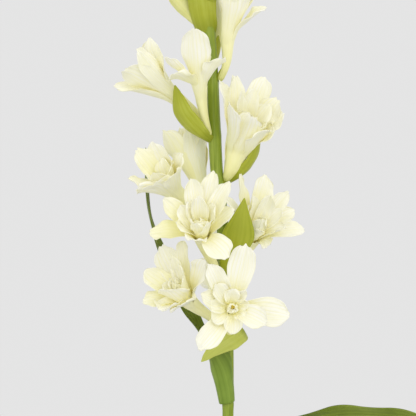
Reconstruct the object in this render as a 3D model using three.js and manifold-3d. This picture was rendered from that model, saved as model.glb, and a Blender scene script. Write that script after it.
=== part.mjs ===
// One cut tuberose spike standing in a plain glazed bottle vase of water.
//
// The spike is a green stem with a bract under each flower, four strap leaves that clasp it,
// thirteen open florets and a tip of closed buds. Each floret is a curved tube that ends in
// whorls of petals. All sizes are in millimetres, +Z is up and -Y is the side that is looked at.
// The origin is the middle of the vase's flat foot.
import * as THREE from "three";
import { mergeVertices } from "three/addons/utils/BufferGeometryUtils.js";
import Module from "manifold-3d";

const wasm = await Module();
wasm.setup();

const vec = (x, y, z) => new THREE.Vector3(x, y, z);
const radians = THREE.MathUtils.degToRad;

// Driving dimensions
const VASE_HEIGHT = 200;
const VASE_FLOOR = 8;
const FOOT_RADIUS = 36;
const BELLY_RADIUS = 45;
const NECK_RADIUS = 13;
const NECK_BORE = 9;
const WATER_LEVEL = 110;
const STEM_RADIUS = 3.6;
const GAP = 0.3;
const PETAL_THICK = 0.7;
const LEAF_THICK = 0.9;

// Finishes
const finish = (color, roughness) => new THREE.MeshStandardMaterial({ color, roughness, metalness: 0 });
const PETAL_CREAM = finish("#f6f3dd", 0.6);
const BUD_YELLOW = finish("#dcd98f", 0.6);
const STEM_GREEN = finish("#86a33f", 0.5);
const LEAF_GREEN = finish("#5d7c1c", 0.5);
const GLAZE = finish("#e9e7e1", 0.25);
const WATER = finish("#cfe0e2", 0.05);

// Solids: a closed geometry becomes a solid, solids are joined or cut, and a mesh comes back.

function solidOf(geometry) {
  const bare = geometry.clone();
  bare.deleteAttribute("normal");
  bare.deleteAttribute("uv");
  const merged = mergeVertices(bare, 1e-4);
  const vertProperties = merged.attributes.position.array;
  const triVerts = new Uint32Array(merged.index.array);
  const made = new wasm.Manifold(new wasm.Mesh({ numProp: 3, vertProperties, triVerts }));
  if (made.volume() > 0) return made;
  for (let i = 0; i < triVerts.length; i += 3) {
    [triVerts[i + 1], triVerts[i + 2]] = [triVerts[i + 2], triVerts[i + 1]];
  }
  return new wasm.Manifold(new wasm.Mesh({ numProp: 3, vertProperties, triVerts }));
}

const join = (solids) => solids.reduce((a, b) => a.add(b));

// The largest body of a solid, without the scraps that a cut can leave.
function mainBody(solid) {
  const bodies = solid.decompose();
  return bodies.reduce((a, b) => (b.volume() > a.volume() ? b : a));
}

function meshOf(name, solid, material) {
  const { numProp, vertProperties, triVerts, numVert } = solid.getMesh();
  const position = new Float32Array(numVert * 3);
  for (let i = 0; i < numVert; i++) {
    position.set(vertProperties.subarray(i * numProp, i * numProp + 3), i * 3);
  }
  const geometry = new THREE.BufferGeometry();
  geometry.setAttribute("position", new THREE.BufferAttribute(position, 3));
  geometry.setIndex(new THREE.BufferAttribute(triVerts, 1));
  geometry.computeVertexNormals();
  const mesh = new THREE.Mesh(geometry, material);
  mesh.name = name;
  return mesh;
}

// A limb is a round body along a curve: [share of the length, radius] pairs, turned on a lathe
// and then bent along the curve.
function limb(curve, profile, sides, steps = 24) {
  const frames = curve.computeFrenetFrames(steps, false);
  const geometry = new THREE.LatheGeometry(profile.map(([u, r]) => new THREE.Vector2(r, u)), sides);
  const position = geometry.attributes.position;
  for (let i = 0; i < position.count; i++) {
    const u = position.getY(i);
    const k = Math.round(THREE.MathUtils.clamp(u, 0, 1) * steps);
    const point = curve.getPointAt(THREE.MathUtils.clamp(u, 0, 1));
    point.addScaledVector(frames.normals[k], position.getX(i));
    point.addScaledVector(frames.binormals[k], position.getZ(i));
    position.setXYZ(i, point.x, point.y, point.z);
  }
  return solidOf(geometry);
}

// A blade is a thin curved sheet. at(s) gives its middle line, the direction across it and the
// direction its inner face looks, half(s) its half width, and span(s) the angle through which
// each half curls. Both faces are split into the same triangles.
function blade({ at, half, span, rows, columns, thick }) {
  const position = [];
  const index = [];
  const across = columns + 1;
  for (const layer of [0.5, -0.5]) {
    for (const s of rows) {
      const { point, side, face } = at(s);
      const curl = Math.abs(span(s)) < 0.02 ? 0.02 : span(s);
      for (let j = 0; j < across; j++) {
        const angle = curl * ((2 * j) / columns - 1);
        const p = point.clone();
        p.addScaledVector(side, (half(s) * Math.sin(angle)) / curl);
        p.addScaledVector(face, (half(s) * (1 - Math.cos(angle))) / curl);
        p.addScaledVector(face, layer * thick * Math.cos(angle));
        p.addScaledVector(side, -layer * thick * Math.sin(angle));
        position.push(p.x, p.y, p.z);
      }
    }
  }
  const under = rows.length * across;
  const quad = (a, b, c, d) => index.push(a, b, c, a, c, d);
  for (let i = 0; i + 1 < rows.length; i++) {
    for (let j = 0; j < columns; j++) {
      const a = i * across + j;
      const [b, c, d] = [a + 1, a + across + 1, a + across];
      quad(a, b, c, d);
      index.push(under + a, under + c, under + b, under + a, under + d, under + c);
    }
  }
  const rim = [];
  for (let j = 0; j < columns; j++) rim.push(j);
  for (let i = 0; i + 1 < rows.length; i++) rim.push(i * across + columns);
  for (let j = columns; j > 0; j--) rim.push((rows.length - 1) * across + j);
  for (let i = rows.length - 1; i > 0; i--) rim.push(i * across);
  rim.forEach((a, k) => {
    const b = rim[(k + 1) % rim.length];
    quad(b, a, under + a, under + b);
  });
  const geometry = new THREE.BufferGeometry();
  geometry.setAttribute("position", new THREE.Float32BufferAttribute(position, 3));
  geometry.setIndex(index);
  return solidOf(geometry);
}

// The stem: its route from the vase's floor to the tip of the spike, and its radius on the way.
const STEM_ROUTE = [
  [3, 0, VASE_FLOOR + GAP], [-1.2, 0.6, 80], [-4.5, 0.4, 140], [-5, 0, 190], [-5, 0, 268],
  [-5, 0, 311], [-7, 0, 360], [-9.4, 0, 402], [-12.3, 0, 427], [-13.4, 0, 445], [-14.4, 0, 467],
  [-15.2, 0, 486], [-16.4, 0, 506], [-17.8, 0, 527], [-18.9, 0, 545], [-20.5, 0, 575],
  [-22, 0, 606],
];
const STEM_GIRTH = [
  [8, STEM_RADIUS], [300, STEM_RADIUS], [400, 3.8], [445, 4.1], [490, 3.9], [530, 4],
  [560, 3], [606, 1.6],
];
const STEM_STEPS = 26;
const STEM_SIDES = 8;
const stemCurve = new THREE.CatmullRomCurve3(STEM_ROUTE.map((p) => vec(...p)));

const between = (table, z) => {
  const k = Math.max(1, table.findIndex(([at]) => at >= z));
  const [[z0, a], [z1, b]] = [table[k - 1], table[k]];
  return a + ((b - a) * (z - z0)) / (z1 - z0);
};
const stemGirth = (z) => between(STEM_GIRTH, THREE.MathUtils.clamp(z, STEM_GIRTH[0][0], 606));

// The point of the stem's middle line at a height.
function stemAt(z) {
  let [low, high] = [0, 1];
  for (let i = 0; i < 30; i++) {
    const mid = (low + high) / 2;
    if (stemCurve.getPointAt(mid).z < z) low = mid;
    else high = mid;
  }
  return stemCurve.getPointAt(low);
}

function stemSolid(extra, sides) {
  const profile = [[0, 0]];
  for (let i = 0; i <= STEM_STEPS; i++) {
    const u = i / STEM_STEPS;
    profile.push([u, stemGirth(stemCurve.getPointAt(u).z) + extra]);
  }
  profile.push([1, 0]);
  return limb(stemCurve, profile, sides, STEM_STEPS);
}

// A floret's parts are placed in the frame of its mouth: out is the way that it faces, and turns
// are counted from right towards up, as seen by someone who looks into the flower.
function mouthFrame(mouth, faces) {
  const out = vec(...faces).normalize();
  const hint = Math.abs(out.z) < 0.8 ? vec(0, 0, 1) : vec(0, 1, 0);
  const up = hint.addScaledVector(out, -hint.dot(out)).normalize();
  return { mouth: vec(...mouth), out, up, right: up.clone().cross(out) };
}

// A petal's outline: a narrow claw, widest past the middle, and a round tip.
const PETAL_WIDEST = 0.58;
const PETAL_CLAW = 0.38;
const PETAL_TIP = 0.4;
function petalShape(s) {
  const rise = Math.sin((Math.PI / 2) * Math.min(1, s / PETAL_WIDEST));
  if (s < PETAL_WIDEST) return PETAL_CLAW + (1 - PETAL_CLAW) * rise;
  const past = (s - PETAL_WIDEST) / (1 - PETAL_WIDEST);
  return PETAL_TIP + (1 - PETAL_TIP) * Math.sqrt(1 - past ** 2);
}

const OUTER_ROWS = [0, 0.42, 0.8, 1];
const INNER_ROWS = [0, 0.55, 1];
const CLAWS = { out: 0.8, between: 0.52, in: 0.3 };
const CLAW_DEPTH = 3;
const PETAL_CUP = 55;
const PETAL_TIP_CUP = 25;

// One petal: turn round the mouth, lean from the floret's axis at its root and at its tip,
// length, width, and how far it twists about its own middle line, in degrees.
function petal(frame, bell, [turn, lean, curl, length, width, twist = 0], layer) {
  const steps = 20;
  const spoke = frame.right.clone().multiplyScalar(Math.cos(radians(turn)));
  spoke.addScaledVector(frame.up, Math.sin(radians(turn)));
  const side = frame.out.clone().cross(spoke).normalize();
  const along = (s) => {
    const angle = radians(lean + (curl - lean) * s);
    return frame.out.clone().multiplyScalar(Math.cos(angle)).addScaledVector(spoke, Math.sin(angle));
  };
  const line = [frame.mouth.clone().addScaledVector(frame.out, -CLAW_DEPTH)];
  line[0].addScaledVector(spoke, bell * CLAWS[layer]);
  for (let i = 0; i < steps; i++) {
    line.push(line[i].clone().addScaledVector(along((i + 0.5) / steps), length / steps));
  }
  const at = (s) => {
    const turned = side.clone().applyAxisAngle(along(s), radians(twist * s));
    return { point: line[Math.round(s * steps)], side: turned, face: along(s).cross(turned) };
  };
  const half = (s) => (width / 2) * petalShape(s);
  const span = (s) => radians(PETAL_CUP + (PETAL_TIP_CUP - PETAL_CUP) * s);
  const rows = layer === "in" ? INNER_ROWS : OUTER_ROWS;
  return blade({ at, half, span, rows, columns: 2, thick: PETAL_THICK });
}

// A floret's tube: it leaves the stem, bends out, and widens to its mouth, where a low cone
// fills the throat and holds the petals' claws.
const TUBE_SIDES = 7;
const TUBE_ROOT = 1.7;
const TUBE_SPRING = 0.5;
const THROAT = 0.84;

function tubeProfile({ bell, flare = 1.4 }) {
  const rings = [0, 0.34, 0.68, 1].map((u) => [u * THROAT, TUBE_ROOT + (bell - TUBE_ROOT) * u ** flare]);
  return [[0, 0], ...rings, [1, 0]];
}

function tubeCurve(frame, leaves) {
  const root = stemAt(leaves);
  const aside = frame.mouth.clone().sub(root).setZ(0).normalize();
  root.addScaledVector(aside, stemGirth(leaves) + GAP + TUBE_ROOT);
  const reach = frame.mouth.distanceTo(root) * TUBE_SPRING;
  const start = root.clone().addScaledVector(aside.multiplyScalar(0.5).setZ(0.85), reach);
  const end = frame.mouth.clone().addScaledVector(frame.out, -reach);
  const tube = new THREE.CubicBezierCurve3(root, start, end, frame.mouth.clone());
  const throat = (tube.getLength() * (1 - THROAT)) / THROAT;
  const path = new THREE.CurvePath();
  path.add(tube);
  path.add(new THREE.LineCurve3(frame.mouth, frame.mouth.clone().addScaledVector(frame.out, throat)));
  return path;
}

// Open florets. leaves is the height at which the tube leaves the stem, mouth the middle of the
// tube's mouth, and faces the way it looks. A petal is [turn, lean, curl, length, width].
// In a whorl every other petal leans out further, so that the petals lap and don't cross.
const LAP = 7;
const whorl = (count, first, lean, curl, length, width) =>
  Array.from({ length: count }, (_, i) => {
    const lap = i % 2 ? 0 : LAP;
    return [first + (i * 360) / count, lean + lap, curl + lap, length, width];
  });

const FLORETS = [
  {
    name: "floret_top_right", leaves: 486, mouth: [-3.7, -5, 521], faces: [0.22, -0.25, 0.95], bell: 5.4,
    outer: [[-14, 34, 46, 27, 14, 30], [-66, 14, 30, 32, 14], [250, 14, 24, 34, 17], [190, 8, 20, 34, 13],
      [120, 20, 38, 33, 14], [55, 14, 34, 33, 14]],
    inner: whorl(2, 30, 4, 12, 26, 12),
  },
  {
    name: "floret_top_back", leaves: 498, mouth: [-9.6, 14, 526], faces: [0.15, 0.55, 0.82], bell: 4.4,
    outer: whorl(6, 0, 12, 30, 32, 15),
    inner: [],
  },
  {
    name: "floret_upper_front", leaves: 450, mouth: [-23.5, -14, 485], faces: [-0.1, -0.5, 0.86], bell: 5,
    outer: [[262, 8, -8, 42, 20], [338, 34, 40, 24, 20, -35], [190, 34, 40, 29, 13, 45],
      [218, 50, 56, 24, 19, 40], [95, 10, 14, 31, 15], [40, 12, 20, 24, 13]],
    inner: [],
  },
  {
    name: "floret_upper_left", leaves: 455, mouth: [-42.5, 4, 478], faces: [-0.75, -0.2, 0.6], bell: 5,
    outer: [[270, 20, 34, 39, 18, -40], [325, 14, 24, 41, 20], [22, 22, 28, 40, 19],
      [80, 20, 31, 41, 18, 55], [150, 20, 28, 36, 16], [212, 14, 28, 36, 17]],
    inner: [],
  },
  {
    name: "floret_right",
    leaves: 421, mouth: [4.6, -6, 449], faces: [0.35, -0.62, 0.7], bell: 10.2, flare: 0.85,
    outer: [[138, 28, 36, 40, 14], [62, 34, 44, 40, 19], [30, 30, 42, 33, 18], [2, 30, 40, 28, 18],
      [334, 30, 34, 21, 18], [236, 10, 16, 29, 19], [188, 22, 30, 38, 17]],
    inner: [[100, 34, 42, 39, 15], [28, 18, 28, 29, 14], [130, 16, 26, 34, 14], [200, 12, 20, 30, 14]],
  },
  {
    name: "floret_left", leaves: 400, mouth: [-41.4, -5, 416], faces: [-0.5, -0.45, 0.74], bell: 6.4,
    outer: [[222, 28, 38, 29, 13], [165, 12, 18, 36, 16], [115, 10, 14, 34, 18], [45, 26, 42, 27, 17],
      [350, 30, 44, 24, 18], [300, 26, 44, 25, 22], [262, 30, 44, 24, 16]],
    inner: whorl(3, 20, 8, 24, 23, 14),
  },
  {
    name: "floret_left_back", backBract: 2.6,
    leaves: 406, mouth: [-24, 12, 421], faces: [-0.25, 0.2, 0.95], bell: 5,
    outer: [[228, 10, 0, 41, 23, 25], [262, 6, 4, 35, 12], [295, 10, 12, 38, 16], [340, 14, 22, 36, 16],
      [45, 14, 26, 34, 15], [110, 8, 18, 36, 17]],
    inner: [],
  },
  {
    name: "floret_middle", leaves: 353, mouth: [-22.4, -26, 388], faces: [-0.1, -0.8, 0.6], bell: 6,
    outer: [[78, 40, 52, 38, 13], [48, 36, 52, 38, 13], [24, 46, 62, 24, 14], [308, 62, 86, 30, 19],
      [255, 28, 42, 17, 16], [184, 72, 98, 31, 17], [148, 44, 60, 30, 13, -40]],
    inner: [[106, 36, 48, 34, 13], [84, 14, 30, 27, 14], [190, 30, 50, 21, 13], [240, 24, 46, 19, 13],
      [330, 26, 48, 20, 13]],
  },
  {
    name: "floret_lower_right",
    leaves: 350, mouth: [12, 6, 387], faces: [0.45, -0.6, 0.66], bell: 7, flare: 1.6,
    outer: [[72, 34, 46, 38, 17], [118, 38, 46, 42, 10], [34, 36, 48, 35, 12], [12, 40, 54, 31, 13],
      [350, 54, 78, 33, 16], [300, 70, 100, 13, 15], [152, 44, 56, 35, 11]],
    inner: [[105, 22, 34, 27, 13], [60, 18, 30, 29, 13], [335, 30, 50, 23, 12], [20, 22, 36, 26, 12]],
  },
  {
    name: "floret_bottom_front", leaves: 316, mouth: [-3, -31, 340], faces: [0.1, -0.97, 0.2], bell: 5,
    outer: [[78, 56, 76, 40, 18], [122, 44, 64, 35, 14], [353, 69, 91, 34, 20], [334, 44, 64, 26, 17],
      [232, 64, 90, 33, 16], [160, 42, 64, 25, 13]],
    inner: [[93, 30, 42, 16, 11], [15, 36, 56, 13, 9], [130, 38, 54, 23, 12], [208, 44, 72, 18, 12],
      [320, 40, 64, 12, 10], [178, 40, 62, 19, 10]],
  },
  {
    name: "floret_bottom_left",
    leaves: 322, mouth: [-32.3, -18, 346.7], faces: [-0.5, -0.55, 0.67], bell: 5.6,
    outer: [[132, 36, 48, 37, 17], [95, 36, 48, 37, 12], [172, 32, 44, 31, 16], [30, 42, 54, 35, 16, 45],
      [217, 46, 62, 26, 17], [280, 30, 0, 22, 26], [310, 54, 46, 18, 20]],
    inner: [[108, 20, 30, 30, 11], [200, 20, 30, 19, 13], [30, 14, 26, 22, 13]],
  },
  {
    name: "floret_back", backBract: 3,
    leaves: 368, mouth: [-20.6, 26, 390], faces: [-0.1, 0.85, 0.5], bell: 5,
    outer: whorl(6, 10, 24, 50, 30, 17),
    inner: whorl(3, 40, 6, 22, 24, 14),
  },
  {
    name: "floret_low_back", backBract: 3,
    leaves: 334, mouth: [-12, 28, 350], faces: [0.15, 0.9, 0.4], bell: 5,
    outer: whorl(6, 30, 18, 40, 28, 16),
    inner: whorl(3, 0, 6, 20, 22, 12),
  },
];

function floretSolid(floret) {
  const { mouth, faces, leaves, bell, outer, inner } = floret;
  const frame = mouthFrame(mouth, faces);
  const tube = limb(tubeCurve(frame, leaves), tubeProfile(floret), TUBE_SIDES);
  const petals = outer.map((row, i) => petal(frame, bell, row, i % 2 ? "between" : "out"));
  return join([tube, ...petals, ...inner.map((row) => petal(frame, bell, row, "in"))]);
}

// Closed buds above the open florets: each one lower, longer and wider than the next.
const BUD_COUNT = 9;
const BUD_FROM = 520;
const BUD_TO = 603;
const BUD_FIRST_TURN = 154;
const BUD_TURN = 137.5;
const BUD_SPREAD = 0.75;
const BUD_FIRST_LEAN = 39;
const BUD_LEAN = [32, 12];
const BUD_LENGTH = [45, 18];
const BUD_RADIUS = [7.4, 2.5];
const BUD_NECK = 0.26;
const BUD_SIDES = 7;
const BUD_PROFILE = [
  [0, 0], [0, BUD_NECK], [0.3, 0.6], [0.62, 1], [0.84, 0.82], [1, 0.16], [1, 0],
];

function budRow(i) {
  const share = i / (BUD_COUNT - 1);
  const blend = ([first, last]) => first + (last - first) * share;
  return {
    height: BUD_FROM + (BUD_TO - BUD_FROM) * share ** BUD_SPREAD,
    turn: radians(BUD_FIRST_TURN + BUD_TURN * i),
    lean: radians(i ? blend(BUD_LEAN) : BUD_FIRST_LEAN),
    length: blend(BUD_LENGTH),
    radius: blend(BUD_RADIUS),
  };
}

function budCurve({ height, turn, lean, length, radius }) {
  const away = vec(Math.cos(turn), Math.sin(turn), 0);
  const root = stemAt(height).addScaledVector(away, stemGirth(height) + GAP + BUD_NECK * radius);
  const middle = root.clone().addScaledVector(away, length * 0.55 * Math.sin(lean));
  middle.z += length * 0.45 * Math.cos(lean);
  const tip = root.clone().addScaledVector(away, length * Math.sin(lean) * 0.85);
  tip.z += length * Math.cos(lean);
  return new THREE.QuadraticBezierCurve3(root, middle, tip);
}

// Leaves and bracts follow a route of points. faces are the ways that the inner side looks, from
// root to tip, and widths and cups are [share of the length, value] pairs.
function leafBlade({ route, faces, widths, cups, rows, columns }, grow = 0) {
  const curve = new THREE.CatmullRomCurve3(route.map((p) => vec(...p)));
  const looks = faces.map((look, i) => [i / (faces.length - 1), look]);
  const at = (s) => {
    const along = curve.getTangentAt(s);
    const look = vec(...[0, 1, 2].map((axis) => between(looks.map(([u, v]) => [u, v[axis]]), s)));
    const side = look.cross(along).normalize();
    return { point: curve.getPointAt(s), side, face: along.clone().cross(side) };
  };
  const half = (s) => between(widths, s) / 2 + grow;
  const span = (s) => radians(between(cups, s));
  return blade({ at, half, span, rows, columns, thick: LEAF_THICK + 2 * grow });
}

// Bracts: [height of the root on the stem, turn of the root, middle points, tip, width, look].
const BRACTS = [
  [484, 0, [[-8.6, 0, 491]], [-5.6, 1, 500], 8, [-0.9, 0.3, 0.3]],
  [497, 20, [[-11.9, 2, 507]], [-11.4, 3, 516], 6, [-0.5, 0.8, 0.2]],
  [446, 215, [[-24, -8, 451], [-35, -11, 464]], [-39.4, -9, 482.5], 17, [0.5, 0.75, 0.45]],
  [418, 340, [[3, -5, 424], [12, -6, 434]], [16.6, -5, 448.7], 13, [-0.6, 0.45, 0.6]],
  [353, 300, [[-5.5, -9, 366], [1.2, -14, 382]], [5.4, -14, 409.7], 23, [-0.15, 0.95, 0.1]],
  [514, 235, [[-21.8, -5, 527], [-23.6, -8, 545]], [-26, -9, 570], 21, [0.25, 0.95, 0.1]],
];
const BRACT_WIDTH = [[0, 0.5], [0.3, 0.9], [0.5, 1], [0.75, 0.72], [1, 0.1]];
const BRACT_CUP = [[0, 75], [0.5, 35], [1, 15]];

function bractSolid([height, turn, middle, tip, width, look], grow) {
  const away = vec(Math.cos(radians(turn)), Math.sin(radians(turn)), 0);
  const root = stemAt(height).addScaledVector(away, stemGirth(height) - 1);
  const widths = BRACT_WIDTH.map(([s, share]) => [s, share * width]);
  const rows = [0, 0.25, 0.5, 0.75, 1];
  const route = [root.toArray(), ...middle, tip];
  return leafBlade({ route, faces: [look, look], widths, cups: BRACT_CUP, rows, columns: 2 }, grow);
}

// The lowest bract leaves the stem's right side and folds round its front, over the leaf's sheath.
const LOW_BRACT = {
  route: [[-2.4, 1, 323], [4.4, 0.6, 324], [7, -5.5, 322.5], [0, -11, 319], [-8, -12.5, 315.5],
    [-15.5, -12.5, 311], [-22.4, -12.5, 304.5]],
  faces: [[0, -1, 0.3], [-1, -0.2, 0.3], [-0.2, 1, 0.35], [0, 1, 0.4], [0, 1, 0.4], [0, 1, 0.4]],
  widths: [[0, 7], [0.2, 11], [0.5, 14], [0.75, 10], [1, 1.5]],
  cups: [[0, 50], [0.2, 10], [0.5, 20], [1, 15]],
  rows: [0, 0.12, 0.22, 0.32, 0.5, 0.75, 1],
  columns: 2,
};

// A small bract lies under a bud, or under the tube of a floret at the back.
function smallBract({ curve, height, radius, reach = 0.62 }, grow) {
  const away = curve.getPointAt(reach).sub(stemAt(height)).setZ(0).normalize();
  const root = stemAt(height - 4).addScaledVector(away, stemGirth(height) - 1).toArray();
  const under = away.clone().multiplyScalar(0.85).setZ(-0.5);
  const middle = curve.getPointAt(reach / 2).addScaledVector(under, radius * 0.75 + 1.4).toArray();
  const tip = curve.getPointAt(reach).addScaledVector(under, radius + 2).toArray();
  const look = [-away.x, -away.y, 0.7];
  const widths = BRACT_WIDTH.map(([s, share]) => [s, share * (4 + radius * 1.5)]);
  const rows = [0, 0.35, 0.7, 1];
  const route = [root, middle, tip];
  return leafBlade({ route, faces: [look, look], widths, cups: BRACT_CUP, rows, columns: 2 }, grow);
}

// Strap leaves: each one clasps the stem with a rolled sheath and then arches away.
const LEAVES = [
  {
    name: "leaf_upper_left", slim: 0.8,
    route: [[-9.2, -3.6, 276], [-10.4, -3.8, 286], [-14, -3.6, 300], [-19.5, -1, 314], [-26, -2, 328],
      [-34, -2, 342], [-42.5, 0, 359], [-51, 3, 381], [-57.4, 6, 405], [-58.6, 7, 422], [-58.8, 7, 443]],
    faces: [[0.75, 0.66, 0], [0.8, -0.5, -0.3], [0.8, -0.5, -0.2], [1, -0.1, 0], [1, -0.1, 0]],
    cups: [[0, 152], [0.1, 150], [0.16, 120], [0.23, 55], [0.5, 20], [1, 12]],
  },
  {
    name: "leaf_right", slim: 1.1,
    route: [[0.3, 0, 218], [1, 0, 229], [8, -1, 242], [28, -5, 257], [58, -9, 268], [92, -10, 268.5],
      [127, -8, 257.5], [154, -6, 233]],
    faces: [[-1, 0, 0], [-0.6, -0.1, 0.8], [0, -0.5, 0.85], [0, -0.5, 0.85], [0, -0.4, 0.9]],
  },
  {
    name: "leaf_left", slim: 1,
    route: [[-10.3, 0, 238], [-11.4, 0.5, 248], [-19, 4, 255.5], [-46, 12, 256], [-80, 20, 243],
      [-112, 26, 212], [-130, 28, 172]],
    faces: [[1, 0, 0], [0.5, -0.2, 0.8], [0.3, -0.4, 0.9]],
  },
  {
    name: "leaf_back", slim: 1,
    route: [[-4.7, 5.3, 203], [-4.6, 6, 213], [-2, 15, 225], [6, 44, 235], [16, 78, 223], [25, 106, 191]],
    faces: [[0, -1, 0], [0.1, -0.4, 0.9], [0.2, -0.3, 0.9]],
  },
];
const LEAF_CUP = [[0, 150], [0.06, 135], [0.13, 80], [0.22, 45], [0.5, 20], [1, 12]];
const LEAF_WIDTH = [
  [0, 25], [0.06, 25], [0.13, 22], [0.22, 19], [0.45, 18], [0.75, 14], [0.92, 7], [1, 1.5],
];
const LEAF_ROWS = [0, 0.06, 0.1, 0.14, 0.19, 0.26, 0.34, 0.44, 0.55, 0.66, 0.76, 0.85, 0.93, 1];

function leafSolid({ route, faces, slim, cups = LEAF_CUP }) {
  const widths = LEAF_WIDTH.map(([s, width]) => [s, width * (s > 0.2 ? slim : 1)]);
  return leafBlade({ route, faces, widths, cups, rows: LEAF_ROWS, columns: 4 });
}

// The vase is thrown as one wall with a flat foot, a round belly, a slim neck and a flared lip.
const VASE_SIDES = 26;
const VASE_WALL = [
  [0, 0], [FOOT_RADIUS, 0], [BELLY_RADIUS - 2, 28], [BELLY_RADIUS, 56], [BELLY_RADIUS - 4, 84],
  [27, 113], [NECK_RADIUS + 2.6, 140], [NECK_RADIUS, 166], [16.2, VASE_HEIGHT - 3],
  [15.4, VASE_HEIGHT], [13.4, VASE_HEIGHT - 1], [NECK_BORE, 166], [NECK_BORE + 2.7, 139],
  [23.4, 111], [BELLY_RADIUS - 8.4, 83], [BELLY_RADIUS - 4.6, 56], [BELLY_RADIUS - 6.6, 30],
  [FOOT_RADIUS - 6, VASE_FLOOR], [0, VASE_FLOOR],
];
const WATER_WALL = [
  [0, VASE_FLOOR + GAP], [FOOT_RADIUS - 6.5, VASE_FLOOR + GAP], [BELLY_RADIUS - 7.2, 30],
  [BELLY_RADIUS - 5.2, 56], [BELLY_RADIUS - 9, 82.8], [23.6, WATER_LEVEL], [0, WATER_LEVEL],
];

function turned(profile) {
  const points = profile.map(([r, z]) => new THREE.Vector2(r, z));
  return solidOf(new THREE.LatheGeometry(points, VASE_SIDES).rotateX(Math.PI / 2));
}

// Assembly. What would cross a neighbour is cut back from it by the gap.
const part = new THREE.Group();
part.name = "tuberose_in_vase";

const buds = Array.from({ length: BUD_COUNT }, (_, i) => budRow(i));
const smallBracts = [
  ...buds.slice(1).map((row) => ({ ...row, curve: budCurve(row) })),
  ...FLORETS.filter(({ backBract }) => backBract).map(({ mouth, faces, leaves, backBract }) => (
    { curve: tubeCurve(mouthFrame(mouth, faces), leaves), height: leaves, radius: backBract, reach: 0.5 }
  )),
];
const growths = (grow) => [
  stemSolid(grow, STEM_SIDES), leafBlade(LOW_BRACT, grow), ...BRACTS.map((row) => bractSolid(row, grow)),
  ...smallBracts.map((row) => smallBract(row, grow)),
];
const stem = join(growths(0));
const stemRoom = join(growths(GAP));

part.add(meshOf("vase", turned(VASE_WALL), GLAZE));
part.add(meshOf("water", turned(WATER_WALL).subtract(stemRoom), WATER));
part.add(meshOf("stem", stem, STEM_GREEN));
for (const leaf of LEAVES) {
  part.add(meshOf(leaf.name, mainBody(leafSolid(leaf).subtract(stemRoom)), LEAF_GREEN));
}
for (const floret of FLORETS) {
  part.add(meshOf(floret.name, mainBody(floretSolid(floret).subtract(stemRoom)), PETAL_CREAM));
}
buds.forEach((row, i) => {
  const profile = BUD_PROFILE.map(([u, r]) => [u, r * row.radius]);
  const bud = limb(budCurve(row), profile, BUD_SIDES);
  part.add(meshOf(`bud_${i + 1}`, mainBody(bud.subtract(stemRoom)), BUD_YELLOW));
});

export default part;
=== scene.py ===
# A cut spike of double tuberose that stands in a plain white bottle vase of water.
#
# Sizes are in millimetres and become metres where a mesh is made. +Z is up, -Y is the side that
# is looked at, and the origin is the middle of the vase's foot.
import math
import random

import bpy
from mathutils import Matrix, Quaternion, Vector, geometry, noise


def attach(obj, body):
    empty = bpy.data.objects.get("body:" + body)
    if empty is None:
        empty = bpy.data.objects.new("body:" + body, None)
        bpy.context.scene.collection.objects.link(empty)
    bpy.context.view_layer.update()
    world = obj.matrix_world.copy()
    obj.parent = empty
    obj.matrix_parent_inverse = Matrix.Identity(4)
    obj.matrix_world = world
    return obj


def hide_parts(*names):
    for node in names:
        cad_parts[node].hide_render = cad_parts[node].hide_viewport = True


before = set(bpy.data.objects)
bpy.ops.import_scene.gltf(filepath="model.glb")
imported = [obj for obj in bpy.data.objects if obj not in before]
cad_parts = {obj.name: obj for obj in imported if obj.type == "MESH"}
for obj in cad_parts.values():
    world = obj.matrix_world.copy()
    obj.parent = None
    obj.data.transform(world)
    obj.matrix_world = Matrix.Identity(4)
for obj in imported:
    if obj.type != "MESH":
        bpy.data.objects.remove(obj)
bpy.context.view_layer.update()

# The camera stands level with the middle of the spike, a metre in front of it. It takes in the
# open florets and the upper leaf, from a hand's breadth above the vase to the lowest buds.
MM = 0.001
VIEW_CENTRE = Vector((-18, 0, 403.2)) * MM
VIEW_DISTANCE = 1.0
VIEW_LENS = 133.1
bpy.ops.object.camera_add(
    location=VIEW_CENTRE - Vector((0, VIEW_DISTANCE, 0)), rotation=(math.radians(90), 0, 0)
)
bpy.context.scene.camera = bpy.context.object
bpy.context.object.data.lens = VIEW_LENS


# The vase is stoneware, thrown as one wall with a round belly, a slim neck and a rolled lip, and
# dipped in a white glaze with fine specks. The glaze shows faint rings of the turning.
VASE_RINGS = [
    (35.2, 0), (36, 0.8), (38.6, 8), (43, 28), (45, 56), (41, 84), (27, 113), (15.6, 140),
    (13, 166), (14, 185), (16.2, 197), (16.3, 199), (15.2, 200.2), (13.8, 199.4), (12.4, 196),
    (10, 180), (9, 166), (11.7, 139), (23.4, 111), (36.6, 83), (40.4, 56), (38.4, 30), (32, 10),
    (29, 8), (4, 8),
]
VASE_SIDES = 96
PROFILE_STEPS = 5
GLAZE_WHITE = (0.84, 0.83, 0.79, 1)
GLAZE_THIN = (0.66, 0.62, 0.54, 1)


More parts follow.
